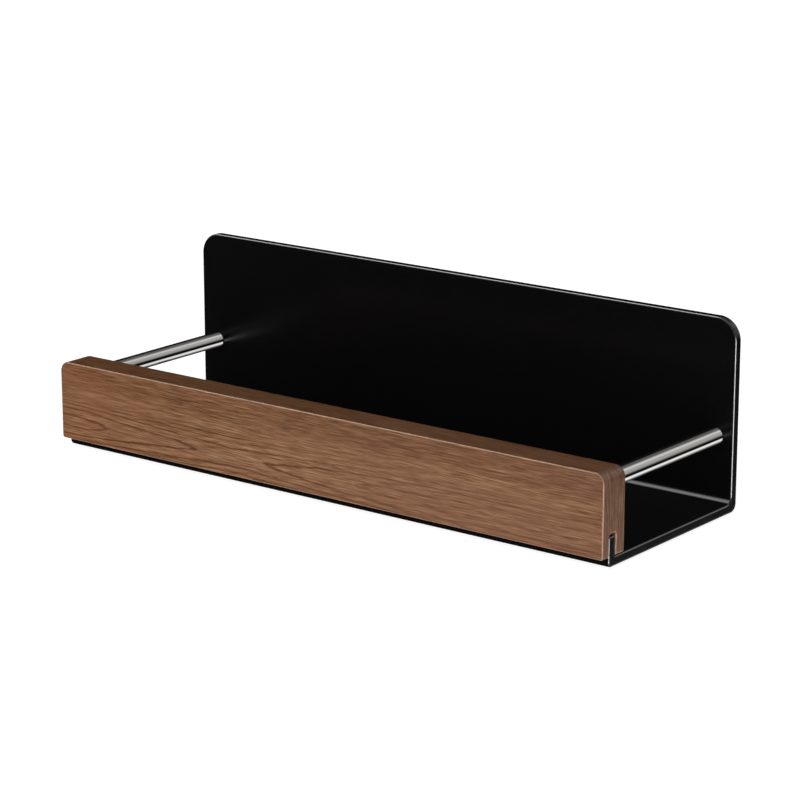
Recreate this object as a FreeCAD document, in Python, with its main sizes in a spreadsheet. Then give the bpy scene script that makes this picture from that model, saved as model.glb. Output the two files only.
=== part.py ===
import FreeCAD, Part
import math
import os
import Sketcher
from FreeCAD import Vector

# Small desk shelf. A tray is extruded in one J-shaped profile: tall back panel, floor, short front lip.
# A wooden front bar drops over the lip, and two round side rods tie the bar to the back panel.
# +X runs to the right along the bar, +Y towards the back panel, +Z up. The origin is the middle of
# the footprint, on the surface that the shelf stands on. Lengths are in millimetres.

doc = FreeCAD.newDocument("DeskShelf")

# ---------------------------------------------------------------- driving dimensions
SIZES = [
    ("length", 400, "front bar, end to end"),
    ("depth", 138, "bar's front face to back panel's rear face"),
    ("height", 113.5, "tray's underside to the back panel's top edge"),
    ("wall", 5.5, "wall of the extruded tray"),
    ("tray_inset", 0.2, "tray's end inside the bar's end, at each side"),
    ("lip_height", 17.4, "tray's underside to the top of its front lip"),
    ("lip_setback", 6.6, "bar's front face to the lip's front face"),
    ("front_bend", 2.7, "outer radius where the floor turns up into the lip"),
    ("front_root", 0.5, "inner radius there"),
    ("rear_bend", 5, "outer radius where the floor turns up into the panel"),
    ("rear_root", 4.5, "inner radius there"),
    ("panel_corner", 13.5, "radius of the panel's two top corners"),
    ("tray_edge", 1, "rounding of the tray's outside edges"),
    ("bar_thickness", 21, "front bar, front face to rear face"),
    ("bar_height", 48.5, "front bar, bottom to top"),
    ("bar_gap", 0.3, "clearance under the bar, above the tray's floor"),
    ("bar_shoulder", 6, "radius of the bar's upper end corners"),
    ("bar_heel", 1.5, "radius of the bar's lower end corners"),
    ("bar_edge", 0.8, "easing of the bar's outside edges"),
    ("groove_play", 0.8, "clearance behind the lip in the bar's groove"),
    ("groove_headroom", 1.8, "clearance above the lip in the bar's groove"),
    ("groove_root", 1.6, "radius in the groove's two upper corners"),
    ("rod_diameter", 10, "side rod"),
    ("rod_inset", 12, "rod's axis to the end of the bar"),
    ("rod_level", 44, "rod's axis above the tray's underside"),
    ("rod_chamfer", 0.5, "chamfer at each end of a rod"),
    ("tap_depth", 10, "threaded hole in each end of a rod"),
    ("thread", 4, "outside diameter of the M4 threads"),
    ("thread_chamfer", 0.5, "chamfer at the ends of the threaded pieces"),
    ("head_diameter", 8, "countersunk head of a rear screw"),
    ("head_land", 0.2, "straight rim of that head"),
    ("screw_length", 12, "rear screw, head included"),
    ("screw_key", 2.5, "its hexagon socket, across flats"),
    ("screw_key_depth", 1.6, "depth of that socket"),
    ("stud_in_rod", 7, "headless stud's length inside the rod"),
    ("stud_in_bar", 7, "headless stud's length inside the bar's insert"),
    ("stud_key", 2, "its hexagon socket, across flats"),
    ("stud_key_depth", 2.5, "depth of that socket"),
    ("insert_diameter", 6, "brass insert in the bar, outside"),
    ("insert_length", 9, "brass insert, from the bar's rear face"),
    ("insert_chamfer", 0.4, "chamfer round its ends"),
    ("drill_room", 1, "bore left beyond the insert"),
    ("pad_diameter", 12, "rubber pad under the tray"),
    ("pad_thickness", 1, "height of that pad"),
    ("pad_edge", 0.3, "rounding of its lower rim"),
    ("pad_inset", 20, "pad's centre to the tray's end, and to its front and rear"),
]

sheet = doc.addObject("Spreadsheet::Sheet", "sizes")
for row, (alias, value, note) in enumerate(SIZES, start=1):
    sheet.set(f"A{row}", note)
    sheet.set(f"B{row}", str(value))
    sheet.setAlias(f"B{row}", alias)
doc.recompute()


def mm(alias):
    return float(sheet.get(alias))


# ---------------------------------------------------------------- places shared between pieces
TRAY_LENGTH = "(sizes.length - 2 * sizes.tray_inset)"
TRAY_DEPTH = "(sizes.depth - sizes.lip_setback)"
BAR_FOOT = "(sizes.wall + sizes.bar_gap)"                      # bar's bottom above the underside
FRONT = "(-sizes.depth / 2)"                                   # bar's front face
LIP_FRONT = f"({FRONT} + sizes.lip_setback)"
BAR_REAR = f"({FRONT} + sizes.bar_thickness)"
PANEL_REAR = "(sizes.depth / 2)"
ROD_SPREAD = "(sizes.length / 2 - sizes.rod_inset)"            # rod's axis from the middle
ROD_HEIGHT = "(sizes.pad_thickness + sizes.rod_level)"
ROD_LENGTH = "(sizes.depth - sizes.bar_thickness - sizes.wall)"
HEAD_SLOPE = "((sizes.head_diameter - sizes.thread) / 2)"      # height and width of the head's cone

SIDES = (("left", -1), ("right", 1))
X_AXIS, Y_AXIS = Vector(1, 0, 0), Vector(0, 1, 0)


# ---------------------------------------------------------------- sketches and features
def new_body(name):
    body = doc.addObject("PartDesign::Body", name)
    body.Label = name
    return body


def new_sketch(body, name, plane, lift=None):
    # lift moves the sketch along its plane's normal; XZ_Plane's normal points to -Y
    sketch = body.newObject("Sketcher::SketchObject", f"{body.Name}_{name}")
    support = [item for item in body.Origin.OriginFeatures if item.Role == plane][0]
    sketch.AttachmentSupport = (support, [""])
    sketch.MapMode = "FlatFace"
    if lift:
        sketch.setExpression("AttachmentOffset.Base.z", lift)
    return sketch


def bind(sketch, constraint, expression):
    number = sketch.addConstraint(constraint)
    sketch.setExpression(f"Constraints[{number}]", expression)


def add_polygon(sketch, corners):
    # lines through the corners in turn; they start on a circle and the solver takes each one home
    count = len(corners)
    turns = [2 * math.pi * number / count for number in range(count)]
    start = [Vector(math.cos(turn), math.sin(turn), 0) for turn in turns]
    lines = [sketch.addGeometry(Part.LineSegment(start[n], start[(n + 1) % count]), False)
             for n in range(count)]
    for number, line in enumerate(lines):
        following = lines[(number + 1) % count]
        sketch.addConstraint(Sketcher.Constraint("Coincident", line, 2, following, 1))
    for line, (x, y) in zip(lines, corners):
        bind(sketch, Sketcher.Constraint("DistanceX", -1, 1, line, 1, 0.0), x)
        bind(sketch, Sketcher.Constraint("DistanceY", -1, 1, line, 1, 0.0), y)


def add_circle(sketch, diameter, x="0 mm", y="0 mm"):
    circle = sketch.addGeometry(Part.Circle(Vector(0, 0, 0), Vector(0, 0, 1), 1.0), False)
    bind(sketch, Sketcher.Constraint("Diameter", circle, 2.0), diameter)
    bind(sketch, Sketcher.Constraint("DistanceX", -1, 1, circle, 3, 0.0), x)
    bind(sketch, Sketcher.Constraint("DistanceY", -1, 1, circle, 3, 0.0), y)


def add_hexagon(sketch, across_flats):
    reach = f"{across_flats} / sqrt(3)"
    turns = [60 * number for number in range(6)]
    add_polygon(sketch, [(f"{reach} * cos({turn} deg)", f"{reach} * sin({turn} deg)") for turn in turns])


def extrude(body, sketch, length, midplane=False, reverse=False):
    feature = body.newObject("PartDesign::Pad", f"{sketch.Name}_pad")
    feature.Profile = sketch
    feature.Midplane = midplane
    feature.Reversed = reverse
    feature.setExpression("Length", length)
    doc.recompute()


def revolve(body, sketch):
    # full turn about the sketch's level axis
    feature = body.newObject("PartDesign::Revolution", f"{sketch.Name}_turn")
    feature.Profile = sketch
    feature.ReferenceAxis = (sketch, ["H_Axis"])
    feature.Angle = 360
    doc.recompute()


def cut(body, sketch, length, midplane=False, reverse=False):
    before = body.Shape.Volume
    feature = body.newObject("PartDesign::Pocket", f"{sketch.Name}_cut")
    feature.Profile = sketch
    feature.Midplane = midplane
    feature.Reversed = reverse
    feature.setExpression("Length", length)
    doc.recompute()
    if not body.Shape.Volume < before - 1e-6:
        raise RuntimeError(f"{feature.Name} takes nothing away")


def dress(body, kind, edges, size):
    # kind is Fillet or Chamfer
    if not edges:
        raise RuntimeError(f"{body.Name} has no edge for its {kind} of {size}")
    base = body.Tip
    feature = body.newObject(f"PartDesign::{kind}", f"{body.Name}_{kind.lower()}")
    feature.Base = (base, edges)
    feature.setExpression("Radius" if kind == "Fillet" else "Size", size)
    doc.recompute()


def place(body, x="0 mm", y="0 mm", z="0 mm"):
    for axis, expression in (("x", x), ("y", y), ("z", z)):
        body.setExpression(f"Placement.Base.{axis}", expression)


# ---------------------------------------------------------------- picking edges by where they lie
SMOOTH = 0.1      # radians; faces that meet at less than this run into each other
PROBE = 0.02      # how far beside an edge the solid is probed


def near(first, second):
    return abs(first - second) < 1e-4


def middle(edge):
    return edge.valueAt((edge.FirstParameter + edge.LastParameter) / 2)


def runs_along(edge, axis):
    if edge.Curve.TypeId != "Part::GeomLine":
        return False
    return edge.Curve.Direction.isParallel(axis, 1e-6)


def is_rim(edge, diameter):
    return edge.Curve.TypeId == "Part::GeomCircle" and near(edge.Curve.Radius, mm(diameter) / 2)


def edges_where(body, test):
    # a rounded corner's pole is an edge with no length, which is never picked
    return [f"Edge{number}" for number, edge in enumerate(body.Shape.Edges, start=1)
            if not edge.Degenerated and test(edge)]


def outside_edges(body):
    # every sharp edge that stands out of the body: smooth joins and hollow corners are left
    shape = body.Shape

    def stands_out(edge):
        faces = shape.ancestorsOfType(edge, Part.Face)
        if len(faces) != 2:
            return False
        point = middle(edge)
        first, second = (face.normalAt(*face.Surface.parameter(point)) for face in faces)
        if first.getAngle(second) < SMOOTH:
            return False
        return not shape.isInside(point + (first - second) * PROBE, 1e-6, False)

    return edges_where(body, stands_out)


# ---------------------------------------------------------------- tray
# Own frame: x = 0 at mid length, y = 0 on the lip's front face, z = 0 on the underside.
tray = new_body("tray")
profile = new_sketch(tray, "profile", "YZ_Plane")
add_polygon(profile, [
    ("0 mm", "0 mm"),
    (TRAY_DEPTH, "0 mm"),
    (TRAY_DEPTH, "sizes.height"),
    (f"{TRAY_DEPTH} - sizes.wall", "sizes.height"),
    (f"{TRAY_DEPTH} - sizes.wall", "sizes.wall"),
    ("sizes.wall", "sizes.wall"),
    ("sizes.wall", "sizes.lip_height"),
    ("0 mm", "sizes.lip_height"),
])
extrude(tray, profile, TRAY_LENGTH, midplane=True)

tray_rear = mm("depth") - mm("lip_setback")
BENDS = (
    (0, 0, "sizes.front_bend"),
    (mm("wall"), mm("wall"), "sizes.front_root"),
    (tray_rear, 0, "sizes.rear_bend"),
    (tray_rear - mm("wall"), mm("wall"), "sizes.rear_root"),
)
for bend_y, bend_z, radius in BENDS:
    bend = edges_where(tray, lambda edge: runs_along(edge, X_AXIS)
                       and near(middle(edge).y, bend_y) and near(middle(edge).z, bend_z))
    dress(tray, "Fillet", bend, radius)

top_corners = edges_where(tray, lambda edge: runs_along(edge, Y_AXIS)
                          and near(middle(edge).z, mm("height")))
dress(tray, "Fillet", top_corners, "sizes.panel_corner")
dress(tray, "Fillet", outside_edges(tray), "sizes.tray_edge")

# screw holes through the panel, countersunk from behind
holes = new_sketch(tray, "screw_holes", "XZ_Plane", lift=f"-{TRAY_DEPTH}")
for side, sign in SIDES:
    add_circle(holes, "sizes.thread", f"{sign} * {ROD_SPREAD}", "sizes.rod_level")
cut(tray, holes, "sizes.wall", reverse=True)
mouths = edges_where(tray, lambda edge: is_rim(edge, "thread") and near(middle(edge).y, tray_rear))
dress(tray, "Chamfer", mouths, f"{HEAD_SLOPE} + sizes.head_land")
place(tray, y=LIP_FRONT, z="sizes.pad_thickness")

# ---------------------------------------------------------------- front bar
# Own frame: x = 0 at mid length, y = 0 on the front face, z = 0 on the bottom.
front_bar = new_body("front_bar")
face = new_sketch(front_bar, "face", "XZ_Plane")
add_polygon(face, [
    ("-sizes.length / 2", "0 mm"),
    ("sizes.length / 2", "0 mm"),
    ("sizes.length / 2", "sizes.bar_height"),
    ("-sizes.length / 2", "sizes.bar_height"),
])
extrude(front_bar, face, "sizes.bar_thickness", reverse=True)
for level, radius in ((mm("bar_height"), "sizes.bar_shoulder"), (0, "sizes.bar_heel")):
    corners = edges_where(front_bar, lambda edge: runs_along(edge, Y_AXIS)
                          and near(middle(edge).z, level))
    dress(front_bar, "Fillet", corners, radius)

# groove for the lip, open at the bottom and at both ends
GROOVE_REAR = "(sizes.lip_setback + sizes.wall + sizes.groove_play)"
GROOVE_TOP = f"(sizes.lip_height + sizes.groove_headroom - {BAR_FOOT})"
groove = new_sketch(front_bar, "groove", "YZ_Plane")
add_polygon(groove, [
    ("sizes.lip_setback", "0 mm"),
    (GROOVE_REAR, "0 mm"),
    (GROOVE_REAR, GROOVE_TOP),
    ("sizes.lip_setback", GROOVE_TOP),
])
cut(front_bar, groove, "sizes.length", midplane=True)
groove_top = mm("lip_height") + mm("groove_headroom") - mm("wall") - mm("bar_gap")
roots = edges_where(front_bar, lambda edge: runs_along(edge, X_AXIS)
                    and near(middle(edge).z, groove_top))
dress(front_bar, "Fillet", roots, "sizes.groove_root")
dress(front_bar, "Fillet", outside_edges(front_bar), "sizes.bar_edge")

bores = new_sketch(front_bar, "insert_bores", "XZ_Plane", lift="-sizes.bar_thickness")
for side, sign in SIDES:
    add_circle(bores, "sizes.insert_diameter", f"{sign} * {ROD_SPREAD}", f"sizes.rod_level - {BAR_FOOT}")
cut(front_bar, bores, "sizes.insert_length + sizes.drill_room", reverse=True)
place(front_bar, y=FRONT, z=f"sizes.pad_thickness + {BAR_FOOT}")


# ---------------------------------------------------------------- rods and their fasteners
# Each lies along its own +Y, from y = 0.
def round_stock(name, diameter, length):
    body = new_body(name)
    section = new_sketch(body, "section", "XZ_Plane")
    add_circle(section, diameter)
    extrude(body, section, length, reverse=True)
    return body


def add_key(body, across_flats, depth):
    # hexagon socket in the end at y = 0
    socket = new_sketch(body, "socket", "XZ_Plane")
    add_hexagon(socket, across_flats)
    cut(body, socket, depth)


def make_rod(side, sign):
    # y = 0 on the bar's rear face; tapped at both ends
    rod = round_stock(f"side_rod_{side}", "sizes.rod_diameter", ROD_LENGTH)
    dress(rod, "Chamfer", edges_where(rod, lambda edge: is_rim(edge, "rod_diameter")), "sizes.rod_chamfer")
    front_tap = new_sketch(rod, "front_tap", "XZ_Plane")
    add_circle(front_tap, "sizes.thread")
    cut(rod, front_tap, "sizes.tap_depth")
    rear_tap = new_sketch(rod, "rear_tap", "XZ_Plane", lift=f"-{ROD_LENGTH}")
    add_circle(rear_tap, "sizes.thread")
    cut(rod, rear_tap, "sizes.tap_depth", reverse=True)
    place(rod, f"{sign} * {ROD_SPREAD}", BAR_REAR, ROD_HEIGHT)
    return rod


def make_rear_screw(side, sign):
    # turned about Y; y = 0 on the flat of its head, which is flush with the panel's rear face
    screw = new_body(f"rear_screw_{side}")
    section = new_sketch(screw, "section", "YZ_Plane")
    add_polygon(section, [
        ("0 mm", "0 mm"),
        ("0 mm", "sizes.head_diameter / 2"),
        ("-sizes.head_land", "sizes.head_diameter / 2"),
        (f"-sizes.head_land - {HEAD_SLOPE}", "sizes.thread / 2"),
        ("-sizes.screw_length + sizes.thread_chamfer", "sizes.thread / 2"),
        ("-sizes.screw_length", "sizes.thread / 2 - sizes.thread_chamfer"),
        ("-sizes.screw_length", "0 mm"),
    ])
    revolve(screw, section)
    socket = new_sketch(screw, "socket", "XZ_Plane")
    add_hexagon(socket, "sizes.screw_key")
    cut(screw, socket, "sizes.screw_key_depth", reverse=True)
    place(screw, f"{sign} * {ROD_SPREAD}", PANEL_REAR, ROD_HEIGHT)
    return screw


def make_front_stud(side, sign):
    # y = 0 on the end inside the bar, where its socket is
    stud = round_stock(f"front_stud_{side}", "sizes.thread", "sizes.stud_in_bar + sizes.stud_in_rod")
    dress(stud, "Chamfer", edges_where(stud, lambda edge: is_rim(edge, "thread")), "sizes.thread_chamfer")
    add_key(stud, "sizes.stud_key", "sizes.stud_key_depth")
    place(stud, f"{sign} * {ROD_SPREAD}", f"{BAR_REAR} - sizes.stud_in_bar", ROD_HEIGHT)
    return stud


def make_bar_insert(side, sign):
    # y = 0 on the end inside the bar; the other end is flush with the bar's rear face
    insert = round_stock(f"bar_insert_{side}", "sizes.insert_diameter", "sizes.insert_length")
    rims = edges_where(insert, lambda edge: is_rim(edge, "insert_diameter"))
    dress(insert, "Chamfer", rims, "sizes.insert_chamfer")
    bore = new_sketch(insert, "bore", "XZ_Plane")
    add_circle(bore, "sizes.thread")
    cut(insert, bore, "sizes.insert_length")
    place(insert, f"{sign} * {ROD_SPREAD}", f"{BAR_REAR} - sizes.insert_length", ROD_HEIGHT)
    return insert


FITTINGS = [make(side, sign)
            for make in (make_rod, make_rear_screw, make_front_stud, make_bar_insert)
            for side, sign in SIDES]


# ---------------------------------------------------------------- rubber pads
def make_foot_pad(row_name, y_place, side, sign):
    # stuck to the tray's underside; z = 0 on the surface that the shelf stands on
    foot = new_body(f"foot_pad_{row_name}_{side}")
    outline = new_sketch(foot, "outline", "XY_Plane")
    add_circle(outline, "sizes.pad_diameter")
    extrude(foot, outline, "sizes.pad_thickness")
    lower_rim = edges_where(foot, lambda edge: is_rim(edge, "pad_diameter") and near(middle(edge).z, 0))
    dress(foot, "Fillet", lower_rim, "sizes.pad_edge")
    place(foot, f"{sign} * ({TRAY_LENGTH} / 2 - sizes.pad_inset)", y_place)
    return foot


PAD_ROWS = (("front", f"{LIP_FRONT} + sizes.pad_inset"), ("rear", f"{PANEL_REAR} - sizes.pad_inset"))
PADS = [make_foot_pad(row_name, y_place, side, sign)
        for row_name, y_place in PAD_ROWS for side, sign in SIDES]

# ---------------------------------------------------------------- checks and STEP files
doc.recompute()
for item in doc.Objects:
    if "Invalid" in item.State or "Error" in item.State:
        raise RuntimeError(f"{item.Name} failed: {item.State}")

os.makedirs("parts", exist_ok=True)
for body in [tray, front_bar, *FITTINGS, *PADS]:
    shape = body.Shape
    if shape.isNull() or not shape.isValid() or len(shape.Solids) != 1:
        raise RuntimeError(f"{body.Label} is not one valid solid")
    shape.exportStep(f"parts/{body.Label}.step")
    box = shape.optimalBoundingBox()
    print(f"{body.Label:22} {box.XLength:7.2f} {box.YLength:7.2f} {box.ZLength:7.2f} mm"
          f"  {shape.Volume / 1000:9.2f} cm3")
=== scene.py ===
import math

import bmesh
import bpy
from mathutils import Matrix, Vector


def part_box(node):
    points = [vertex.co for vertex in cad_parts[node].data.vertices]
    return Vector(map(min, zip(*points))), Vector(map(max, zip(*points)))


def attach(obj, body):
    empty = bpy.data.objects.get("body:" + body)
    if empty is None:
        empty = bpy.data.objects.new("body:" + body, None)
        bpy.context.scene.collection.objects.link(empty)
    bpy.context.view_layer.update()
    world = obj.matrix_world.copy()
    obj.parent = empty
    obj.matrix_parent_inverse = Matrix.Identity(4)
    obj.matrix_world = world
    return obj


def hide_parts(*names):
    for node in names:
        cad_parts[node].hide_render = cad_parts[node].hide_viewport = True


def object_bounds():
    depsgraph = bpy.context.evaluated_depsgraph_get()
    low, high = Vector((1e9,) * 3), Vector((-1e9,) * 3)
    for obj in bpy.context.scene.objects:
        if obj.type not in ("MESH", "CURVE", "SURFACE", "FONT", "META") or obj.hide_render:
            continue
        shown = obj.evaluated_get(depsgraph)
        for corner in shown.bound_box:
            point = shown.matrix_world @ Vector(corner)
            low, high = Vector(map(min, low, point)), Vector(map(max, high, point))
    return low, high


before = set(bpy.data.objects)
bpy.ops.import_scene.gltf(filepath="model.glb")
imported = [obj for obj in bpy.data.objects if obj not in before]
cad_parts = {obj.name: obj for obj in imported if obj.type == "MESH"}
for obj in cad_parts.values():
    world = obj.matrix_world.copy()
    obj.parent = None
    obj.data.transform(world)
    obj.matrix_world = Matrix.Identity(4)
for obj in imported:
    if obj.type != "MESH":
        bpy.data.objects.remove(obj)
cadLow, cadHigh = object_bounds()
print("frame loaded", [round(side * 1000, 1) for side in cadHigh - cadLow], "mm")

mm = 0.001
xAxis = Vector((1, 0, 0))
yAxis = Vector((0, 1, 0))
scene = bpy.context.scene


# hex sRGB to the linear colour that a socket takes
def linearColour(code):
    channels = [int(code[place:place + 2], 16) / 255 for place in (1, 3, 5)]
    linear = [c / 12.92 if c <= 0.04045 else ((c + 0.055) / 1.055) ** 2.4 for c in channels]
    return (*linear, 1.0)


# adds a node: settings are its properties; inputs go in by name or number, and a socket given is linked
def addNode(tree, kind, settings=None, inputs=None):
    node = tree.nodes.new(kind)
    for name, value in (settings or {}).items():
        if name == "stops":
            ramp = node.color_ramp
            while len(ramp.elements) < len(value):
                ramp.elements.new(1.0)
            for element, (position, colour) in zip(ramp.elements, value):
                element.position = position
                element.color = linearColour(colour)
        else:
            setattr(node, name, value)
    for name, value in (inputs or {}).items():
        if isinstance(value, bpy.types.NodeSocket):
            tree.links.new(value, node.inputs[name])
        else:
            node.inputs[name].default_value = value
    return node


# an empty material and its node tree; the name says what it is and how its surface was made
def newMaterial(name):
    material = bpy.data.materials.new(name)
    material.use_nodes = True
    material.node_tree.nodes.clear()
    return material, material.node_tree


# ---- camera and studio

camera = {
    "azimuth": 37.64,                    # degrees round from the front towards the right-hand end
    "elevation": 15.08,
    "distance": 1.673,
    "lens": 127.5,
    "aimFromMiddle": (0.0076, 0.0031, -0.0080),
}


def makeCamera():
    azimuth = math.radians(camera["azimuth"])
    elevation = math.radians(camera["elevation"])
    back = Vector((math.sin(azimuth) * math.cos(elevation),
                   -math.cos(azimuth) * math.cos(elevation),
                   math.sin(elevation)))
    aim = (cadLow + cadHigh) / 2 + Vector(camera["aimFromMiddle"])
    turn = (-back).to_track_quat("-Z", "Y").to_matrix().to_4x4()
    data = bpy.data.cameras.new("camera")
    data.lens = camera["lens"]
    view = bpy.data.objects.new("camera", data)
    view.matrix_world = Matrix.Translation(aim + back * camera["distance"]) @ turn
    scene.collection.objects.link(view)
    scene.camera = view


studio = {
    "floorSize": 16.0,
    "floorTint": "#f2f2f2",
    "floorPaper": "#bfbfbf",
    "floorGlow": 1.02,                    # a lit sweep: most of its white is its own light
    "backdrop": 1.0,
    "darkRoom": {"boxes": 0.012, "washes": 0.06},
    # soft boxes that polished and satin surfaces mirror: towards, inner and outer half angle, strength
    "boxes": [
        {"towards": (-0.59, -0.26, 0.76), "inner": 2, "outer": 27, "strength": 9.5},
        {"towards": (0.76, -0.59, -0.26), "inner": 8, "outer": 22, "strength": 19.0},
        {"towards": (-0.05, 0.76, 0.65), "inner": 3, "outer": 28, "strength": 0.30},
        {"towards": (0.24, 0.76, 0.60), "inner": 1, "outer": 16, "strength": 0.68},
        {"towards": (0.53, 0.76, 0.37), "inner": 19, "outer": 28, "strength": 0.42},
        {"towards": (0.48, 0.76, 0.43), "inner": 2, "outer": 28, "strength": 0.70},
        {"towards": (0.35, 0.76, -0.55), "inner": 8, "outer": 15, "strength": 1.9},
        {"towards": (0.18, 0.76, -0.63), "inner": 2, "outer": 26, "strength": 0.52},
        # these two light the rods for views from above and from behind
        {"towards": (0.10, 0.12, 0.98), "inner": 4, "outer": 32, "strength": 0.8},
        {"towards": (-0.12, -0.68, 0.72), "inner": 6, "outer": 30, "strength": 0.8},
    ],
    # broad light for everything matt
    "washes": [
        {"towards": (-0.20, -0.96, 0.20), "inner": 10, "outer": 100, "strength": 0.95},
        {"towards": (0.30, 0.20, 0.93), "inner": 10, "outer": 90, "strength": 0.16},
    ],
}


# a round patch of light in the given direction, fading out between its two half angles
def addPatch(tree, direction, patch):
    facing = addNode(tree, "ShaderNodeVectorMath", {"operation": "DOT_PRODUCT"},
                     {0: direction, 1: Vector(patch["towards"]).normalized()})
    edge = addNode(tree, "ShaderNodeMapRange", {"interpolation_type": "SMOOTHSTEP"},
                   {"Value": facing.outputs["Value"],
                    "From Min": math.cos(math.radians(patch["outer"])),
                    "From Max": math.cos(math.radians(patch["inner"])),
                    "To Min": 0.0,
                    "To Max": patch["strength"]})
    return edge.outputs["Result"]


def makeWorld():
    world = bpy.data.worlds.new("studio")
    scene.world = world
    world.use_nodes = True
    tree = world.node_tree
    tree.nodes.clear()
    direction = addNode(tree, "ShaderNodeTexCoord").outputs["Generated"]
    sums = {}
    for group in ("boxes", "washes"):
        total = addNode(tree, "ShaderNodeValue").outputs[0]
        total.default_value = studio["darkRoom"][group]
        for patch in studio[group]:
            total = addNode(tree, "ShaderNodeMath", {"operation": "ADD"},
                            {0: total, 1: addPatch(tree, direction, patch)}).outputs[0]
        sums[group] = total
    path = addNode(tree, "ShaderNodeLightPath")
    lit = addNode(tree, "ShaderNodeMix", {"data_type": "FLOAT"},
                  {"Factor": path.outputs["Is Glossy Ray"], "A": sums["washes"], "B": sums["boxes"]})
    seen = addNode(tree, "ShaderNodeMix", {"data_type": "FLOAT"},
                   {"Factor": path.outputs["Is Camera Ray"], "A": lit.outputs["Result"],
                    "B": studio["backdrop"]})
    glow = addNode(tree, "ShaderNodeBackground", None, {"Strength": seen.outputs["Result"]})
    addNode(tree, "ShaderNodeOutputWorld", None, {"Surface": glow.outputs["Background"]})


# white paper sweep, matt and lit from beneath: shadows stay pale under the shelf
def whiteLitPaper():
    material, tree = newMaterial("white lit paper")
    shade = addNode(tree, "ShaderNodeBsdfPrincipled", None, {
        "Base Color": linearColour(studio["floorPaper"]),
        "Roughness": 0.9,
        "Specular IOR Level": 0.0,
        "Emission Color": linearColour(studio["floorTint"]),
        "Emission Strength": studio["floorGlow"],
    })
    addNode(tree, "ShaderNodeOutputMaterial", None, {"Surface": shade.outputs["BSDF"]})
    return material


def makeFloor():
    reach = studio["floorSize"] / 2
    bm = bmesh.new()
    corners = [bm.verts.new((x * reach, y * reach, cadLow.z))
               for x, y in ((-1, -1), (1, -1), (1, 1), (-1, 1))]
    bm.faces.new(corners)
    mesh = bpy.data.meshes.new("floor")
    bm.to_mesh(mesh)
    bm.free()
    floor = bpy.data.objects.new("floor", mesh)
    mesh.materials.append(whiteLitPaper())
    floor.visible_glossy = False          # black metal mirrors the dark room instead
    scene.collection.objects.link(floor)


makeCamera()
makeWorld()
makeFloor()
scene.view_settings.view_transform = "Standard"
print("camera, soft boxes and floor are set")


# ---- tools that every piece uses

# a geometry tree with named inputs, and its group input
def newTree(name, inputs):
    tree = bpy.data.node_groups.new(name, "GeometryNodeTree")
    tree.interface.new_socket("Geometry", in_out="INPUT", socket_type="NodeSocketGeometry")
    for label, kind in inputs:
        tree.interface.new_socket(label, in_out="INPUT", socket_type="NodeSocket" + kind)
    tree.interface.new_socket("Geometry", in_out="OUTPUT", socket_type="NodeSocketGeometry")
    return tree, addNode(tree, "NodeGroupInput").outputs


# every tree ends in plain mesh with its material on it
def endTree(tree, geometry, material):
    real = addNode(tree, "GeometryNodeRealizeInstances", None, {"Geometry": geometry})
    dressed = addNode(tree, "GeometryNodeSetMaterial", None,
                      {"Geometry": real.outputs["Geometry"], "Material": material})
    addNode(tree, "NodeGroupOutput", None, {"Geometry": dressed.outputs["Geometry"]})


# runs a tree on the piece and keeps what comes out as its mesh
def runTree(piece, tree, values):
    modifier = piece.modifiers.new(tree.name, "NODES")
    modifier.node_group = tree
    identifiers = {item.name: item.identifier for item in tree.interface.items_tree
                   if item.in_out == "INPUT"}
    for label, value in values.items():
        modifier[identifiers[label]] = value
    keepResult(piece)


def keepResult(piece):
    depsgraph = bpy.context.evaluated_depsgraph_get()
    result = bpy.data.meshes.new_from_object(piece.evaluated_get(depsgraph),
                                             preserve_all_data_layers=True, depsgraph=depsgraph)
    piece.modifiers.clear()
    piece.data = result


def newPiece(name, bm):
    mesh = bpy.data.meshes.new(name)
    bm.to_mesh(mesh)
    bm.free()
    piece = bpy.data.objects.new(name, mesh)
    scene.collection.objects.link(piece)
    return piece


# closed outline, corner by corner, with each corner's own radius kept as an attribute
def newOutline(name, corners):
    bm = bmesh.new()
    radiusLayer = bm.verts.layers.float.new("cornerRadius")
    points = []
    for across, up, radius in corners:
        point = bm.verts.new((across * mm, up * mm, 0))
        point[radiusLayer] = radius * mm
        points.append(point)
    for first, second in zip(points, points[1:] + points[:1]):
        bm.edges.new((first, second))
    return newPiece(name, bm)


# profile (along, radius) turned about +Y into a closed solid
def turnedSolid(profile, steps):
    bm = bmesh.new()
    points = [bm.verts.new((0, along * mm, radius * mm)) for along, radius in profile]
    edges = [bm.edges.new(pair) for pair in zip(points, points[1:])]
    bmesh.ops.spin(bm, geom=points + edges, cent=(0, 0, 0), axis=yAxis,
                   angle=2 * math.pi, steps=steps, use_duplicate=False)
    bmesh.ops.remove_doubles(bm, verts=bm.verts, dist=1e-7)
    bmesh.ops.recalc_face_normals(bm, faces=bm.faces)
    return bm


# takes a closed cutter away from the piece
def cutAway(piece, cutterMesh):
    cutter = newPiece("cutter", cutterMesh)
    modifier = piece.modifiers.new("cut", "BOOLEAN")
    modifier.operation = "DIFFERENCE"
    modifier.solver = "EXACT"
    modifier.object = cutter
    keepResult(piece)
    bpy.data.objects.remove(cutter)


# smooth faces, with true flats between their rounded edges, and one finish over cuts and easings alike
def finishSurface(piece, sharpAngle=40):
    finish = next(material for material in piece.data.materials if material)
    piece.data.materials.clear()
    piece.data.materials.append(finish)
    for polygon in piece.data.polygons:
        polygon.material_index = 0
        polygon.use_smooth = True
    piece.data.set_sharp_from_angle(angle=math.radians(sharpAngle))
    weighted = piece.modifiers.new("weighted", "WEIGHTED_NORMAL")
    weighted.keep_sharp = True
    keepResult(piece)


def handOver(piece, nodes):
    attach(piece, "root")
    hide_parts(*nodes)


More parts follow.
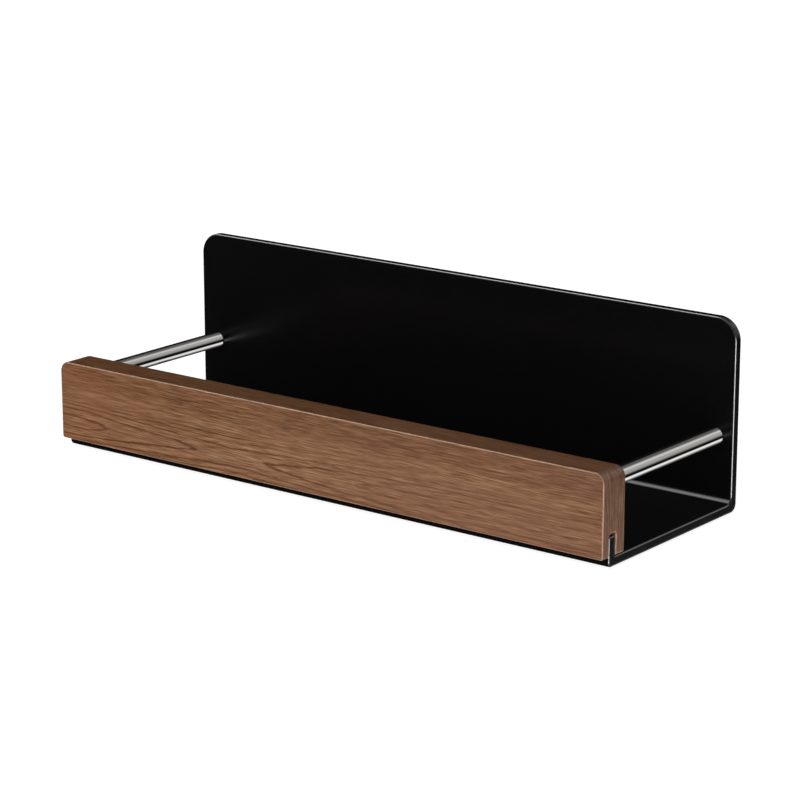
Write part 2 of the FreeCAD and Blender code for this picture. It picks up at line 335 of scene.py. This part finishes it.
# an extruded section: rounds each corner of the outline, fills it and pulls it along X
def sectionTree():
    tree, given = newTree("extruded section", [("Length", "Float"), ("Corner Steps", "Int"),
                                               ("Material", "Material")])
    curve = addNode(tree, "GeometryNodeMeshToCurve", None, {"Mesh": given["Geometry"]})
    radius = addNode(tree, "GeometryNodeInputNamedAttribute", {"data_type": "FLOAT"},
                     {"Name": "cornerRadius"})
    rounded = addNode(tree, "GeometryNodeFilletCurve", {"mode": "POLY"},
                      {"Curve": curve.outputs["Curve"], "Count": given["Corner Steps"],
                       "Radius": radius.outputs["Attribute"]})
    filled = addNode(tree, "GeometryNodeFillCurve", {"mode": "NGONS"},
                     {"Curve": rounded.outputs["Curve"]})
    pull = addNode(tree, "ShaderNodeCombineXYZ", None, {"Z": given["Length"]})
    pulled = addNode(tree, "GeometryNodeExtrudeMesh", {"mode": "FACES"},
                     {"Mesh": filled.outputs["Mesh"], "Offset": pull.outputs["Vector"],
                      "Offset Scale": 1.0, "Individual": False})
    back = addNode(tree, "GeometryNodeFlipFaces", None, {"Mesh": filled.outputs["Mesh"]})
    both = addNode(tree, "GeometryNodeJoinGeometry")
    tree.links.new(pulled.outputs["Mesh"], both.inputs[0])
    tree.links.new(back.outputs["Mesh"], both.inputs[0])
    closed = addNode(tree, "GeometryNodeMergeByDistance", None,
                     {"Geometry": both.outputs["Geometry"], "Distance": 1e-6})
    half = addNode(tree, "ShaderNodeMath", {"operation": "MULTIPLY"}, {0: given["Length"], 1: -0.5})
    shift = addNode(tree, "ShaderNodeCombineXYZ", None, {"X": half.outputs[0]})
    laid = addNode(tree, "GeometryNodeTransform", None,
                   {"Geometry": closed.outputs["Geometry"], "Translation": shift.outputs["Vector"],
                    "Rotation": (math.pi / 2, 0, math.pi / 2)})
    endTree(tree, laid.outputs["Geometry"], given["Material"])
    return tree


# one turned piece set out on a grid, each copy turned a little about its own axis
def copiesTree():
    tree, given = newTree("copies on a grid", [
        ("Across", "Float"), ("Deep", "Float"), ("Rows", "Int"), ("Middle", "Vector"),
        ("Turn", "Vector"), ("Seed", "Int"), ("Material", "Material")])
    grid = addNode(tree, "GeometryNodeMeshGrid", None,
                   {"Size X": given["Across"], "Size Y": given["Deep"],
                    "Vertices X": 2, "Vertices Y": given["Rows"]})
    placed = addNode(tree, "GeometryNodeSetPosition", None,
                     {"Geometry": grid.outputs["Mesh"], "Offset": given["Middle"]})
    turn = addNode(tree, "FunctionNodeRandomValue", {"data_type": "FLOAT_VECTOR"},
                   {0: (0, 0, 0), 1: given["Turn"], "Seed": given["Seed"]})
    copies = addNode(tree, "GeometryNodeInstanceOnPoints", None,
                     {"Points": placed.outputs["Geometry"], "Instance": given["Geometry"],
                      "Rotation": turn.outputs[0]})
    endTree(tree, copies.outputs["Instances"], given["Material"])
    return tree


# rounds the picked edges
def roundEdges(bm, edges, radius, segments):
    rounding = bmesh.ops.bevel(bm, geom=edges, offset=radius * mm, offset_type="OFFSET",
                               segments=segments, profile=0.5, affect="EDGES", clamp_overlap=False)
    return set(rounding["faces"])


# cross edges at one level, at both ends of an extruded piece
def endCorners(bm, level):
    return [edge for edge in bm.edges
            if abs((edge.verts[1].co - edge.verts[0].co).normalized().dot(yAxis)) > 0.999
            and all(abs(point.co.z - level) < 1e-5 for point in edge.verts)
            and all(abs(abs(point.co.x) - max(v.co.x for v in bm.verts)) < 1e-5 for point in edge.verts)]


# eases every outside edge, and marks the crest of each easing, where the materials paint a highlight
def easeOutside(bm, radius, segments):
    sharp = [edge for edge in bm.edges
             if edge.is_manifold and edge.calc_face_angle_signed() > math.radians(35)]
    eased = roundEdges(bm, sharp, radius, segments)
    crest = bm.verts.layers.float.new("edgeCrest")
    for point in bm.verts:
        point[crest] = 1.0 if all(face in eased for face in point.link_faces) else 0.0


extrudedSection = sectionTree()
copiesOnGrid = copiesTree()


# ---- tray: black anodised aluminium, one extruded J-section with a tall back

tray = {
    "wall": 5.5,
    "lipHeight": 17.4,
    "frontBend": 2.7,
    "frontRoot": 0.5,
    "rearBend": 5.0,
    "rearRoot": 4.5,
    "panelCorner": 13.5,
    "edge": 1.0,
    "hole": 4.0,                          # screw holes, countersunk from behind
    "countersink": 2.2,
    "black": "#1b1b1c",
    "crest": "#565656",                   # painted highlight: a paler grey on the eased edges
    "roughness": 0.21,
    "grit": 0.35,                         # blasted grain, drawn coarser than its real 0.1 mm to show
    "handled": 45.0,                      # patches where handling has changed the gloss
    "dieLine": 1.1,
}


# black anodised aluminium, blasted before dyeing: a soft even sheen, deep black, with a painted highlight
# on the eased edges
def blackAnodisedAluminium():
    material, tree = newMaterial("black anodised aluminium, blasted")
    place = addNode(tree, "ShaderNodeTexCoord").outputs["Object"]
    grain = addNode(tree, "ShaderNodeTexNoise", None,
                    {"Vector": place, "Scale": 1 / (tray["grit"] * mm), "Detail": 2.0})
    handled = addNode(tree, "ShaderNodeTexNoise", None,
                      {"Vector": place, "Scale": 1 / (tray["handled"] * mm), "Detail": 3.0,
                       "Roughness": 0.6})
    # faint die lines along the extrusion, a hundred times as long as they are wide
    stretch = addNode(tree, "ShaderNodeMapping", None, {"Vector": place, "Scale": (0.01, 1.0, 1.0)})
    dieLines = addNode(tree, "ShaderNodeTexNoise", None,
                       {"Vector": stretch.outputs["Vector"], "Scale": 1 / (tray["dieLine"] * mm),
                        "Detail": 2.0})
    # painted highlight: the crests of the eased edges mix from black to a paler grey
    crest = addNode(tree, "ShaderNodeAttribute", {"attribute_name": "edgeCrest"})
    tone = addNode(tree, "ShaderNodeMix", {"data_type": "RGBA"},
                   {"Factor": crest.outputs["Fac"], "A": linearColour(tray["black"]),
                    "B": linearColour(tray["crest"])})
    gloss = addNode(tree, "ShaderNodeMapRange", None,
                    {"Value": handled.outputs["Fac"], "From Min": 0.3, "From Max": 0.7,
                     "To Min": tray["roughness"] - 0.03, "To Max": tray["roughness"] + 0.05})
    lines = addNode(tree, "ShaderNodeBump", None,
                    {"Height": dieLines.outputs["Fac"], "Strength": 0.06, "Distance": 0.05 * mm})
    relief = addNode(tree, "ShaderNodeBump", None,
                     {"Height": grain.outputs["Fac"], "Strength": 0.25, "Distance": 0.03 * mm,
                      "Normal": lines.outputs["Normal"]})
    shade = addNode(tree, "ShaderNodeBsdfPrincipled", None, {
        "Base Color": tone.outputs["Result"],
        "Metallic": 0.6,
        "Roughness": gloss.outputs["Result"],
        "Normal": relief.outputs["Normal"],
    })
    addNode(tree, "ShaderNodeOutputMaterial", None, {"Surface": shade.outputs["BSDF"]})
    return material


def makeTray():
    low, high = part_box("tray")
    depth = (high.y - low.y) / mm
    height = (high.z - low.z) / mm
    wall = tray["wall"]
    piece = newOutline("black_tray", [
        (0, 0, tray["frontBend"]),
        (depth, 0, tray["rearBend"]),
        (depth, height, 0),
        (depth - wall, height, 0),
        (depth - wall, wall, tray["rearRoot"]),
        (wall, wall, tray["frontRoot"]),
        (wall, tray["lipHeight"], 0),
        (0, tray["lipHeight"], 0),
    ])
    runTree(piece, extrudedSection, {"Length": high.x - low.x, "Corner Steps": 8,
                                     "Material": blackAnodisedAluminium()})
    bm = bmesh.new()
    bm.from_mesh(piece.data)
    bmesh.ops.recalc_face_normals(bm, faces=bm.faces)
    roundEdges(bm, endCorners(bm, height * mm), tray["panelCorner"], 18)
    easeOutside(bm, tray["edge"], 4)
    bmesh.ops.translate(bm, verts=bm.verts, vec=(0, low.y, low.z))
    bm.to_mesh(piece.data)
    bm.free()
    hole = tray["hole"] / 2
    for side in ("left", "right"):
        screwLow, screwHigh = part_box(f"rear_screw_{side}")
        centre = (screwLow + screwHigh) / 2
        drill = turnedSolid([(1, 0), (1, hole + tray["countersink"] + 1), (-tray["countersink"], hole),
                             (-wall - 1, hole), (-wall - 1, 0)], 64)
        bmesh.ops.translate(drill, verts=drill.verts, vec=(centre.x, high.y, centre.z))
        cutAway(piece, drill)
    finishSurface(piece)
    piece.visible_glossy = False          # the rods mirror the studio right up to the panel
    handOver(piece, ["tray"])


makeTray()
print("tray is made")


# ---- front bar: one walnut board with a groove that drops over the tray's lip

bar = {
    "lipSetback": 6.6,
    "grooveWidth": 6.3,
    "grooveHeight": 13.4,
    "grooveRoot": 1.6,
    "shoulder": 6.0,
    "heel": 1.5,
    "edge": 0.8,
    "bore": 6.0,
    "boreDepth": 10.0,
    # growth rings, in mm: the front face cuts them in long tongues on each side of the crown
    "ringSpacing": 0.75,
    "pithBehind": 40.0,                   # how far behind the front face the tree's pith lies
    "pithUp": 18.5,
    "crown": -65.0,                       # where along the board the tree was thinnest
    "saddle": 15.0,                       # length over which the rings turn there
    "lean": 0.0112,                       # how fast they spread away from there
    "tongueReach": 108.0,                 # beyond this from the crown they run straight
    "tongueTip": 2.0,                     # larger makes the tongues' tips more pointed
    "ringPhase": 0.6133,
    "wander": 0.6,                        # how far the rings stray, over long and short stretches
    "ripple": 0.25,
    "lateWood": 0.48,                     # half the dark line's thickness
    "lateWoodLeast": 0.07,                # the least it can be, as a share of a ring
    "figureMiddle": 6.0,                  # above the pith: the board darkens above and below there
    # the grain's noises: mm along the board, across it and up, then detail and roughness
    "grain": {
        "wander": ((45, 9, 9), 3.0, 0.55),
        "ripple": ((14, 2, 2), 2.0, 0.55),
        "fibre": ((28, 0.6, 0.6), 2.0, 0.5),
        "hair": ((14, 0.36, 0.36), 1.0, 0.5),
        "band": ((120, 9, 9), 3.0, 0.6),
        "dash": ((24, 0.6, 0.6), 2.0, 0.6),
        "pit": ((9, 0.38, 0.38), 1.0, 0.4),               # drawn coarser than real 0.15 mm pores
        "pinkness": ((220, 26, 26), 1.0, 0.55),
        "cutFibre": ((5, 0.909, 14.29), 2.0, 0.55),       # short upright streaks on the ends
    },
    # each fades with another part: from, to, and its value at each of them
    "fades": {
        "near": ("upward", 17.0, 9.0, 0.0, 1.0),          # dark lines only beside the pith's level
        "bold": ("along", -100.0, 60.0, 1.0, 0.5),        # boldest at the left end
        "outer": ("aside", 12.5, 19.5, 0.0, 1.0),
        "streak": ("dash", 0.52, 0.66, 0.0, 1.0),
        "pore": ("pit", 0.60, 0.72, 0.0, 1.0),
    },
    # the tone's place along the colours: where it starts, and what each part of the figure adds
    "toneStart": -0.53,
    "toneParts": {"fibre": 0.55, "hair": 1.5, "band": 0.35, "streak": -0.14, "ring": -0.62,
                  "pore": -0.30, "outer": -0.17, "cutEnd": 1.0},
    "cutEnd": 4.4,
    "tones": [(0.0, "#4a2c14"), (0.25, "#674023"), (0.5, "#855938"), (0.75, "#9b704d"), (1.0, "#b28866")],
    "yellowTint": "#925627",
    "yellowMost": 0.25,
    "yellowFrom": -90.0,                  # from here to the left end
    "pinkTint": "#8d5f4a",
    "pinkMost": 0.30,
    "endGrain": "#543520",
    "endMost": 0.45,
    "crest": "#bb9678",                   # painted highlight: a paler tan on the eased edges
    "crestMost": 0.6,
    "satin": 0.33,                        # roughness of the oiled surface, and in its pores
    "dull": 0.62,
}


# black walnut, planed, sanded and oiled: flat-sawn figure, dark open pores, satin gloss that the pores dull
def oiledWalnut():
    material, tree = newMaterial("black walnut, planed and oiled")
    metres = addNode(tree, "ShaderNodeTexCoord").outputs["Object"]
    parts = {}                            # what the figure is made of, by name
    for name, (sizes, detail, rough) in bar["grain"].items():
        stretched = addNode(tree, "ShaderNodeMapping", None,
                            {"Vector": metres, "Scale": [1 / (size * mm) for size in sizes]})
        parts[name] = addNode(tree, "ShaderNodeTexNoise", None,
                              {"Vector": stretched.outputs["Vector"], "Scale": 1.0, "Detail": detail,
                               "Roughness": rough}).outputs["Fac"]
    low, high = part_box("front_bar")
    fromPith = addNode(tree, "ShaderNodeMapping", None,
                       {"Vector": metres, "Scale": (1 / mm, 1 / mm, 1 / mm),
                        "Location": (0, -low.y / mm - bar["pithBehind"], -bar["pithUp"])})
    place = addNode(tree, "ShaderNodeSeparateXYZ", None, {"Vector": fromPith.outputs["Vector"]})
    parts.update(along=place.outputs["X"], behind=place.outputs["Y"], up=place.outputs["Z"])

    # each sum: its name, what it does, and the parts or numbers that go in
    sums = [
        # distance from the pith, with the tongues' tips pointed
        ("upward", "ABSOLUTE", "up"),
        ("tipped", "ADD", "upward", bar["tongueTip"]),
        ("rise", "MULTIPLY", "upward", "tipped"),
        ("squared", "MULTIPLY_ADD", "behind", "behind", "rise"),
        ("radius", "SQRT", "squared"),
        # less what the rings have spread since the crown
        ("fromCrown", "SUBTRACT", "along", bar["crown"]),
        ("rounded", "MULTIPLY_ADD", "fromCrown", "fromCrown", bar["saddle"] ** 2),
        ("spreading", "SQRT", "rounded"),
        ("spread", "MINIMUM", "spreading", bar["saddle"] + bar["tongueReach"]),
        ("leaning", "MULTIPLY_ADD", "spread", -bar["lean"], "radius"),
        ("straying", "MULTIPLY_ADD", "wander", bar["wander"], "leaning"),
        ("rippled", "MULTIPLY_ADD", "ripple", bar["ripple"], "straying"),
        ("ringCount", "MULTIPLY_ADD", "rippled", 1 / bar["ringSpacing"], bar["ringPhase"]),
        ("nextRing", "ADD", "ringCount", 0.5),
        ("ringNumber", "FLOOR", "nextRing"),
        ("fromRing", "PINGPONG", "ringCount", 0.5),
        # late wood is as thick on the face whatever angle the ring is cut at
        ("thick", "MULTIPLY_ADD", "upward",
         bar["lateWood"] / (bar["pithBehind"] * bar["ringSpacing"]), bar["lateWoodLeast"]),
        ("core", "MULTIPLY", "thick", 0.25),
        ("broken", "MULTIPLY_ADD", "hair", 1.6, 0.2),
        ("fromMiddle", "SUBTRACT", "up", bar["figureMiddle"]),
        ("aside", "ABSOLUTE", "fromMiddle"),
    ]
    for name, operation, *values in sums:
        inputs = {number: parts.get(value, value) for number, value in enumerate(values)}
        parts[name] = addNode(tree, "ShaderNodeMath", {"operation": operation}, inputs).outputs[0]
    for name, (source, first, last, atFirst, atLast) in bar["fades"].items():
        parts[name] = addNode(tree, "ShaderNodeMapRange", {"interpolation_type": "SMOOTHSTEP"},
                              {"Value": parts[source], "From Min": first, "From Max": last,
                               "To Min": atFirst, "To Max": atLast}).outputs["Result"]

    # a dark line for each ring, darker in some years, broken up by the fibres
    year = addNode(tree, "ShaderNodeTexWhiteNoise", {"noise_dimensions": "1D"}, {"W": parts["ringNumber"]})
    parts["year"] = addNode(tree, "ShaderNodeMapRange", None,
                            {"Value": year.outputs["Value"], "To Min": 0.5}).outputs["Result"]
    ring = addNode(tree, "ShaderNodeMapRange", {"interpolation_type": "SMOOTHSTEP"},
                   {"Value": parts["fromRing"], "From Min": parts["thick"],
                    "From Max": parts["core"]}).outputs["Result"]
    for name in ("near", "bold", "year", "broken"):
        ring = addNode(tree, "ShaderNodeMath", {"operation": "MULTIPLY"},
                       {0: ring, 1: parts[name]}).outputs[0]
    parts["ring"] = ring

    # the ends show cut fibres
    end = addNode(tree, "ShaderNodeAttribute", {"attribute_name": "endGrain"}).outputs["Fac"]
    swing = addNode(tree, "ShaderNodeMath", {"operation": "MULTIPLY_ADD"},
                    {0: parts["cutFibre"], 1: bar["cutEnd"], 2: -bar["cutEnd"] / 2})
    parts["cutEnd"] = addNode(tree, "ShaderNodeMath", {"operation": "MULTIPLY"},
                              {0: swing.outputs[0], 1: end}).outputs[0]
    tone = bar["toneStart"]
    for name, amount in bar["toneParts"].items():
        tone = addNode(tree, "ShaderNodeMath", {"operation": "MULTIPLY_ADD"},
                       {0: parts[name], 1: amount, 2: tone}).outputs[0]
    colour = addNode(tree, "ShaderNodeValToRGB", {"stops": bar["tones"]}, {"Fac": tone}).outputs["Color"]

    # the board runs from yellow brown at its left end to pinker brown at its right
    yellow = addNode(tree, "ShaderNodeMapRange", None,
                     {"Value": parts["along"], "From Min": bar["yellowFrom"], "From Max": low.x / mm,
                      "To Max": bar["yellowMost"]})
    pink = addNode(tree, "ShaderNodeMapRange", None,
                   {"Value": parts["pinkness"], "From Min": 0.40, "From Max": 0.65,
                    "To Max": bar["pinkMost"]})
    ended = addNode(tree, "ShaderNodeMath", {"operation": "MULTIPLY"}, {0: end, 1: bar["endMost"]})
    # painted highlight: the crests of the eased edges mix towards a pale tan
    crest = addNode(tree, "ShaderNodeAttribute", {"attribute_name": "edgeCrest"})
    paintedEdgeHighlight = addNode(tree, "ShaderNodeMath", {"operation": "MULTIPLY"},
                     {0: crest.outputs["Fac"], 1: bar["crestMost"]})
    for amount, tint in ((pink, "pinkTint"), (yellow, "yellowTint"),
                         (ended, "endGrain"), (paintedEdgeHighlight, "crest")):
        colour = addNode(tree, "ShaderNodeMix", {"data_type": "RGBA"},
                         {"Factor": amount.outputs[0], "A": colour,
                          "B": linearColour(bar[tint])}).outputs["Result"]

    # fibres stand a little proud; pores are sunk and dull
    dull = addNode(tree, "ShaderNodeMath", {"operation": "MULTIPLY_ADD"},
                   {0: parts["fibre"], 1: 0.5, 2: parts["pore"]})
    gloss = addNode(tree, "ShaderNodeMapRange", None,
                    {"Value": dull.outputs[0], "From Min": 0.1, "From Max": 1.4,
                     "To Min": bar["satin"], "To Max": bar["dull"]})
    sunk = addNode(tree, "ShaderNodeMath", {"operation": "MULTIPLY"}, {0: parts["pore"], 1: -1.0})
    height = addNode(tree, "ShaderNodeMath", {"operation": "MULTIPLY_ADD"},
                     {0: parts["fibre"], 1: 0.35, 2: sunk.outputs[0]})
    relief = addNode(tree, "ShaderNodeBump", None,
                     {"Height": height.outputs[0], "Strength": 0.5, "Distance": 0.08 * mm})
    shade = addNode(tree, "ShaderNodeBsdfPrincipled", None, {
        "Base Color": colour,
        "Roughness": gloss.outputs["Result"],
        "Normal": relief.outputs["Normal"],
    })
    addNode(tree, "ShaderNodeOutputMaterial", None, {"Surface": shade.outputs["BSDF"]})
    return material


def makeBar():
    low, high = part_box("front_bar")
    thickness = (high.y - low.y) / mm
    height = (high.z - low.z) / mm
    grooveRear = bar["lipSetback"] + bar["grooveWidth"]
    piece = newOutline("walnut_bar", [
        (0, 0, 0),
        (bar["lipSetback"], 0, 0),
        (bar["lipSetback"], bar["grooveHeight"], bar["grooveRoot"]),
        (grooveRear, bar["grooveHeight"], bar["grooveRoot"]),
        (grooveRear, 0, 0),
        (thickness, 0, 0),
        (thickness, height, 0),
        (0, height, 0),
    ])
    runTree(piece, extrudedSection, {"Length": high.x - low.x, "Corner Steps": 4,
                                     "Material": oiledWalnut()})
    bm = bmesh.new()
    bm.from_mesh(piece.data)
    bmesh.ops.recalc_face_normals(bm, faces=bm.faces)
    roundEdges(bm, endCorners(bm, height * mm), bar["shoulder"], 12)
    roundEdges(bm, endCorners(bm, 0), bar["heel"], 5)
    easeOutside(bm, bar["edge"], 4)
    endGrain = bm.verts.layers.float.new("endGrain")
    for point in bm.verts:
        facing = max(abs(face.normal.dot(xAxis)) for face in point.link_faces)
        point[endGrain] = min(1.0, max(0.0, facing * 1.4 - 0.4))
    bmesh.ops.translate(bm, verts=bm.verts, vec=(0, low.y, low.z))
    bm.to_mesh(piece.data)
    bm.free()
    for side in ("left", "right"):
        insertLow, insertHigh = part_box(f"bar_insert_{side}")
        centre = (insertLow + insertHigh) / 2
        drill = turnedSolid([(1, 0), (1, bar["bore"] / 2), (-bar["boreDepth"], bar["bore"] / 2),
                             (-bar["boreDepth"], 0)], 48)
        bmesh.ops.translate(drill, verts=drill.verts, vec=(centre.x, high.y, centre.z))
        cutAway(piece, drill)
    finishSurface(piece)
    handOver(piece, ["front_bar"])


makeBar()
print("front bar is made")


# ---- side rods: ground stainless bar, tapped at both ends

rod = {
    "chamfer": 0.5,
    "tap": 4.0,
    "tapDepth": 10.0,
    "steel": "#a8a6a3",
    "roughness": 0.08,
    "grindPitch": 0.35,                   # grinding marks round the rod, drawn coarser than real
}


# stainless steel, ground on its round: bright lengthwise bands, fine marks that run round the rod
def groundStainless():
    material, tree = newMaterial("stainless steel, ground")
    place = addNode(tree, "ShaderNodeTexCoord").outputs["Object"]
    rings = addNode(tree, "ShaderNodeMapping", None, {"Vector": place, "Scale": (40, 1000, 40)})
    marks = addNode(tree, "ShaderNodeTexNoise", None,
                    {"Vector": rings.outputs["Vector"], "Scale": 1 / rod["grindPitch"], "Detail": 2.0})
    cloud = addNode(tree, "ShaderNodeTexNoise", None,
                    {"Vector": place, "Scale": 1 / (9 * mm), "Detail": 3.0})
    gloss = addNode(tree, "ShaderNodeMapRange", None,
                    {"Value": cloud.outputs["Fac"], "From Min": 0.3, "From Max": 0.7,
                     "To Min": rod["roughness"] - 0.02, "To Max": rod["roughness"] + 0.03})
    relief = addNode(tree, "ShaderNodeBump", None,
                     {"Height": marks.outputs["Fac"], "Strength": 0.12, "Distance": 0.02 * mm})
    shade = addNode(tree, "ShaderNodeBsdfPrincipled", None, {
        "Base Color": linearColour(rod["steel"]),
        "Metallic": 1.0,
        "Roughness": gloss.outputs["Result"],
        "Normal": relief.outputs["Normal"],
    })
    addNode(tree, "ShaderNodeOutputMaterial", None, {"Surface": shade.outputs["BSDF"]})
    return material


def middleBetween(leftNode, rightNode):
    leftLow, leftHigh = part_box(leftNode)
    rightLow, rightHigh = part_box(rightNode)
    left = (leftLow + leftHigh) / 2
    right = (rightLow + rightHigh) / 2
    return (left + right) / 2, right.x - left.x


def makeRods():
    low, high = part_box("side_rod_left")
    radius = (high.x - low.x) / 2 / mm
    length = (high.y - low.y) / mm
    chamfer = rod["chamfer"]
    tap = rod["tap"] / 2
    depth = rod["tapDepth"]
    bm = turnedSolid([(depth, 0), (depth, tap), (0, tap), (0, radius - chamfer), (chamfer, radius),
                      (length - chamfer, radius), (length, radius - chamfer), (length, tap),
                      (length - depth, tap), (length - depth, 0)], 96)
    piece = newPiece("side_rods", bm)
    middle, spread = middleBetween("side_rod_left", "side_rod_right")
    runTree(piece, copiesOnGrid, {"Across": spread, "Deep": 0.0, "Rows": 1, "Seed": 3,
                                  "Middle": (middle.x, low.y, middle.z), "Turn": (0.0, 0.0, 0.0),
                                  "Material": groundStainless()})
    finishSurface(piece, 30)
    handOver(piece, ["side_rod_left", "side_rod_right"])


makeRods()
print("rods are made")


# ---- rear screws: countersunk, flush with the panel, hexagon socket

screw = {
    "head": 8.0,
    "land": 0.2,
    "shank": 4.0,
    "tip": 0.5,
    "key": 2.5,
    "keyDepth": 1.6,
    "keyMouth": 0.25,                     # lead-in round the socket
    "steel": "#5c5b5b",
    "roughness": 0.3,
}


# zinc-plated steel screw, rolled and tumbled: grey, half bright, finely mottled
def platedScrewSteel():
    material, tree = newMaterial("plated screw steel, tumbled")
    place = addNode(tree, "ShaderNodeTexCoord").outputs["Object"]
    mottle = addNode(tree, "ShaderNodeTexNoise", None,
                     {"Vector": place, "Scale": 1 / (0.8 * mm), "Detail": 4.0, "Roughness": 0.6})
    gloss = addNode(tree, "ShaderNodeMapRange", None,
                    {"Value": mottle.outputs["Fac"], "From Min": 0.3, "From Max": 0.7,
                     "To Min": screw["roughness"] - 0.06, "To Max": screw["roughness"] + 0.1})
    relief = addNode(tree, "ShaderNodeBump", None,
                     {"Height": mottle.outputs["Fac"], "Strength": 0.2, "Distance": 0.02 * mm})
    shade = addNode(tree, "ShaderNodeBsdfPrincipled", None, {
        "Base Color": linearColour(screw["steel"]),
        "Metallic": 1.0,
        "Roughness": gloss.outputs["Result"],
        "Normal": relief.outputs["Normal"],
    })
    addNode(tree, "ShaderNodeOutputMaterial", None, {"Surface": shade.outputs["BSDF"]})
    return material


screwSteel = platedScrewSteel()


def makeRearScrews():
    low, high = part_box("rear_screw_left")
    length = (high.y - low.y) / mm
    head = screw["head"] / 2
    shank = screw["shank"] / 2
    land = screw["land"]
    slope = head - shank
    bm = turnedSolid([(0, 0), (0, head), (-land, head), (-land - slope, shank),
                      (screw["tip"] - length, shank), (-length, shank - screw["tip"]), (-length, 0)], 64)
    # one face across the head, so that the cuts meet no spokes
    bmesh.ops.dissolve_limit(bm, angle_limit=math.radians(0.5), verts=bm.verts, edges=bm.edges)
    piece = newPiece("rear_screws", bm)
    flats = screw["key"] / math.sqrt(3)   # centre to corner of the socket
    key = turnedSolid([(1, 0), (1, flats), (-screw["keyDepth"], flats), (-screw["keyDepth"] - 0.5, 0)], 6)
    cutAway(piece, key)
    mouth = turnedSolid([(1, 0), (1, flats + screw["keyMouth"] + 1), (-flats - screw["keyMouth"], 0)], 48)
    # turned a little, so that the cone's own edges miss the hexagon's corners
    bmesh.ops.rotate(mouth, verts=mouth.verts, cent=(0, 0, 0),
                     matrix=Matrix.Rotation(math.radians(3), 3, "Y"))
    cutAway(piece, mouth)
    middle, spread = middleBetween("rear_screw_left", "rear_screw_right")
    runTree(piece, copiesOnGrid, {"Across": spread, "Deep": 0.0, "Rows": 1, "Seed": 11,
                                  "Middle": (middle.x, high.y, middle.z), "Turn": (0.0, 1.0, 0.0),
                                  "Material": screwSteel})
    finishSurface(piece, 30)
    handOver(piece, ["rear_screw_left", "rear_screw_right"])


makeRearScrews()
print("rear screws are made")


# ---- foot pads: rubber discs under the four corners

pad = {
    "edge": 0.3,
    "black": "#1b1a19",
}


# EPDM rubber, die-cut from sheet: dull dark grey with a fine cloth-like skin
def padRubber():
    material, tree = newMaterial("EPDM rubber, die-cut sheet")
    place = addNode(tree, "ShaderNodeTexCoord").outputs["Object"]
    skin = addNode(tree, "ShaderNodeTexNoise", None,
                   {"Vector": place, "Scale": 1 / (0.3 * mm), "Detail": 3.0})
    gloss = addNode(tree, "ShaderNodeMapRange", None,
                    {"Value": skin.outputs["Fac"], "To Min": 0.65, "To Max": 0.9})
    relief = addNode(tree, "ShaderNodeBump", None,
                     {"Height": skin.outputs["Fac"], "Strength": 0.4, "Distance": 0.05 * mm})
    shade = addNode(tree, "ShaderNodeBsdfPrincipled", None, {
        "Base Color": linearColour(pad["black"]),
        "Roughness": gloss.outputs["Result"],
        "Normal": relief.outputs["Normal"],
    })
    addNode(tree, "ShaderNodeOutputMaterial", None, {"Surface": shade.outputs["BSDF"]})
    return material


def makePads():
    names = [node for node in sorted(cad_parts) if node.startswith("foot_pad_")]
    lows, highs = zip(*[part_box(node) for node in names])
    centres = [(low + high) / 2 for low, high in zip(lows, highs)]
    left, right = min(c.x for c in centres), max(c.x for c in centres)
    front, rear = min(c.y for c in centres), max(c.y for c in centres)
    radius = (highs[0].x - lows[0].x) / 2 / mm
    height = (highs[0].z - lows[0].z) / mm
    edge = pad["edge"]
    arc = [(edge - edge * math.cos(turn), radius - edge + edge * math.sin(turn))
           for turn in (math.pi / 2 * step / 4 for step in range(5))]
    bm = turnedSolid([(0, 0), *arc, (height, radius), (height, 0)], 64)
    bmesh.ops.rotate(bm, verts=bm.verts, cent=(0, 0, 0), matrix=Matrix.Rotation(math.pi / 2, 3, "X"))
    piece = newPiece("foot_pads", bm)
    runTree(piece, copiesOnGrid, {"Across": right - left, "Deep": rear - front, "Rows": 2, "Seed": 1,
                                  "Middle": ((left + right) / 2, (front + rear) / 2, lows[0].z),
                                  "Turn": (0.0, 0.0, 0.0), "Material": padRubber()})
    finishSurface(piece, 40)
    handOver(piece, names)


makePads()
print("foot pads are made")


# ---- studs and brass inserts stay as the CAD made them

insert = {
    "brass": "#b08d4a",
    "roughness": 0.28,
    "markPitch": 0.25,                    # rings left by the turning tool
}


# free-machining brass, turned: warm yellow, fine rings from the tool
def turnedBrass():
    material, tree = newMaterial("brass, turned")
    place = addNode(tree, "ShaderNodeTexCoord").outputs["Object"]
    rings = addNode(tree, "ShaderNodeMapping", None, {"Vector": place, "Scale": (60, 1000, 60)})
    marks = addNode(tree, "ShaderNodeTexNoise", None,
                    {"Vector": rings.outputs["Vector"], "Scale": 1 / insert["markPitch"], "Detail": 2.0})
    gloss = addNode(tree, "ShaderNodeMapRange", None,
                    {"Value": marks.outputs["Fac"], "To Min": insert["roughness"] - 0.05,
                     "To Max": insert["roughness"] + 0.08})
    relief = addNode(tree, "ShaderNodeBump", None,
                     {"Height": marks.outputs["Fac"], "Strength": 0.3, "Distance": 0.02 * mm})
    shade = addNode(tree, "ShaderNodeBsdfPrincipled", None, {
        "Base Color": linearColour(insert["brass"]),
        "Metallic": 1.0,
        "Roughness": gloss.outputs["Result"],
        "Normal": relief.outputs["Normal"],
    })
    addNode(tree, "ShaderNodeOutputMaterial", None, {"Surface": shade.outputs["BSDF"]})
    return material


brass = turnedBrass()
for side in ("left", "right"):
    for node, material in ((f"front_stud_{side}", screwSteel), (f"bar_insert_{side}", brass)):
        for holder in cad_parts[node].material_slots:
            holder.material = material
print("studs and inserts have their metal")
